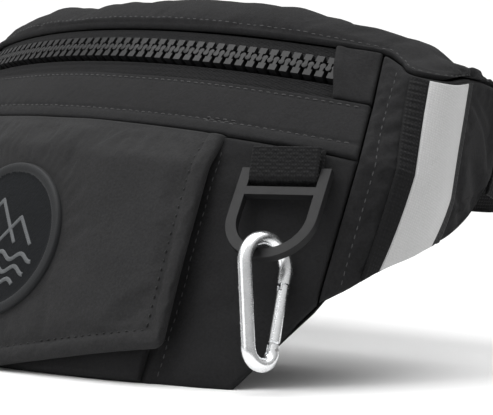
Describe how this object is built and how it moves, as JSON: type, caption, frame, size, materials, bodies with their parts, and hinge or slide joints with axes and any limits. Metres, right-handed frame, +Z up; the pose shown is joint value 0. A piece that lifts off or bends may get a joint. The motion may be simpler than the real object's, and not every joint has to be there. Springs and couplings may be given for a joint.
{
  "type": "waist pack",
  "caption": "Curved fabric waist pack with front flap pocket, moulded-tooth zip, D-ring with snap hook, reflective side webbing and a buckled webbing belt; stands on its base.",
  "frame": {"origin": "on the floor, at the middle of the flat base, in the pack's plane of symmetry", "axes": "+Z up from the floor, -Y out of the front face with the flap, +X to the viewer's right when facing the flap, +Y towards the wearer and the belt"},
  "size_m": [0.3068, 0.1838, 0.1376],
  "materials": {
    "shell_fabric": "fine plain weave, charcoal black, matt",
    "base_fabric": "coarser packcloth, black, matt",
    "binding": "woven binding tape, black",
    "hook_tape": "hook and loop pile, black",
    "zip_tape": "twill tape, black",
    "zip_plastic": "moulded, semi-gloss black",
    "slider_metal": "black enamel, satin",
    "pull_rubber": "moulded grip, matt black",
    "webbing": "ribbed nylon webbing, black",
    "elastic": "woven elastic, black",
    "reflective": "silver retroreflective tape, fine grain",
    "back_fabric": "padded shell, black",
    "air_mesh": "spacer mesh, black",
    "lining": "smooth lining, dark grey",
    "patch_cloth": null,
    "ring_metal": "satin gunmetal grey",
    "chrome": "polished, bright",
    "spring_steel": "drawn wire",
    "buckle_plastic": "moulded acetal, satin black"
  },
  "bodies": {
    "bag": {"front_panel": "shell_fabric", "pocket_front": "shell_fabric", "pocket_binding": "binding", "pocket_loop_tape": "hook_tape", "yoke_band": "shell_fabric", "zip_tape_lower": "zip_tape", "zip_tape_upper": "zip_tape", "zip_teeth_lower": "zip_plastic", "zip_teeth_upper": "zip_plastic", "zip_stops": "zip_plastic", "zip_tab_left": "shell_fabric", "zip_tab_right": "shell_fabric", "top_panel": "shell_fabric", "bottom_panel": "base_fabric", "gusset_left": "shell_fabric", "gusset_right": "shell_fabric", "side_panel_left": "shell_fabric", "side_panel_right": "shell_fabric", "side_webbing_left": "webbing", "side_webbing_right": "webbing", "reflective_stripe_left": "reflective", "reflective_stripe_right": "reflective", "back_panel": "back_fabric", "back_pad": "air_mesh", "inner_pocket": "lining", "ring_webbing": "webbing", "belt_left": "webbing", "buckle_female": "buckle_plastic"},
    "flap": {"flap": "shell_fabric", "flap_hook_tape": "hook_tape", "patch": "patch_cloth"},
    "slider": {"zip_slider": "slider_metal"},
    "pull": {"zip_pull": "slider_metal", "pull_grip": "pull_rubber"},
    "ring": {"d_ring": "ring_metal"},
    "carabiner": {"carabiner_body": "chrome", "gate_pin": "chrome"},
    "gate": {"carabiner_gate": "chrome", "gate_spring": "spring_steel"},
    "right_belt": {"belt_right": "webbing", "belt_tail": "webbing", "buckle_male": "buckle_plastic"},
    "keeper": {"keeper_loop": "elastic"},
    "upper_latch": {"latch_arm_upper": "buckle_plastic"},
    "lower_latch": {"latch_arm_lower": "buckle_plastic"}
  },
  "joints": [
    {"name": "flap_lift", "type": "hinge", "parent": "bag", "child": "flap", "pos_m": [0, -0.0081, 0.09361], "axis": [-1, 0, 0], "range_deg": [0, 150]},
    {"name": "slider_run", "type": "hinge", "parent": "bag", "child": "slider", "pos_m": [0, 0.24249, -0.11093], "axis": [0, 0.3673, 0.9301], "range_deg": [0, 42.8], "deforming": ["zip_teeth_lower", "zip_teeth_upper"]},
    {"name": "pull_flip", "type": "hinge", "parent": "slider", "child": "pull", "pos_m": [-0.10679, 0.04063, 0.11225], "axis": [0.1258, 0.6407, 0.7574], "range_deg": [0, 180]},
    {"name": "ring_swing", "type": "hinge", "parent": "bag", "child": "ring", "pos_m": [0.1193, 0.01243, 0.07192], "axis": [-0.9118, -0.4105, -0.0061], "range_deg": [0, 110]},
    {"name": "carabiner_swing", "type": "hinge", "parent": "ring", "child": "carabiner", "pos_m": [0.12783, -0.00614, 0.04652], "axis": [-0.9118, -0.4105, -0.0061], "range_deg": [0, 100]},
    {"name": "gate_open", "type": "hinge", "parent": "carabiner", "child": "gate", "pos_m": [0.13465, -0.00721, 0.01455], "axis": [0.9746, 0.0488, 0.2184], "range_deg": [0, 24], "stiffness_Nm_per_rad": 0.002},
    {"name": "buckle_release", "type": "slide", "parent": "bag", "child": "right_belt", "axis": [1, 0, 0], "range_m": [0, 0.036], "deforming": ["latch_arm_upper", "latch_arm_lower"]},
    {"name": "keeper_slide", "type": "slide", "parent": "right_belt", "child": "keeper", "axis": [1, 0, 0], "range_m": [-0.02, 0.02]},
    {"name": "latch_squeeze_upper", "type": "hinge", "parent": "right_belt", "child": "upper_latch", "pos_m": [-0.0033, 0.12859, 0.08479], "axis": [0, -0.9301, 0.3673], "range_deg": [0, 10]},
    {"name": "latch_squeeze_lower", "type": "hinge", "parent": "right_belt", "child": "lower_latch", "pos_m": [-0.0033, 0.11962, 0.0621], "axis": [0, 0.9301, -0.3673], "range_deg": [0, 10]}
  ],
  "couplings": [
    {"joint": "latch_squeeze_lower", "follows": "latch_squeeze_upper", "ratio": 1}
  ]
}
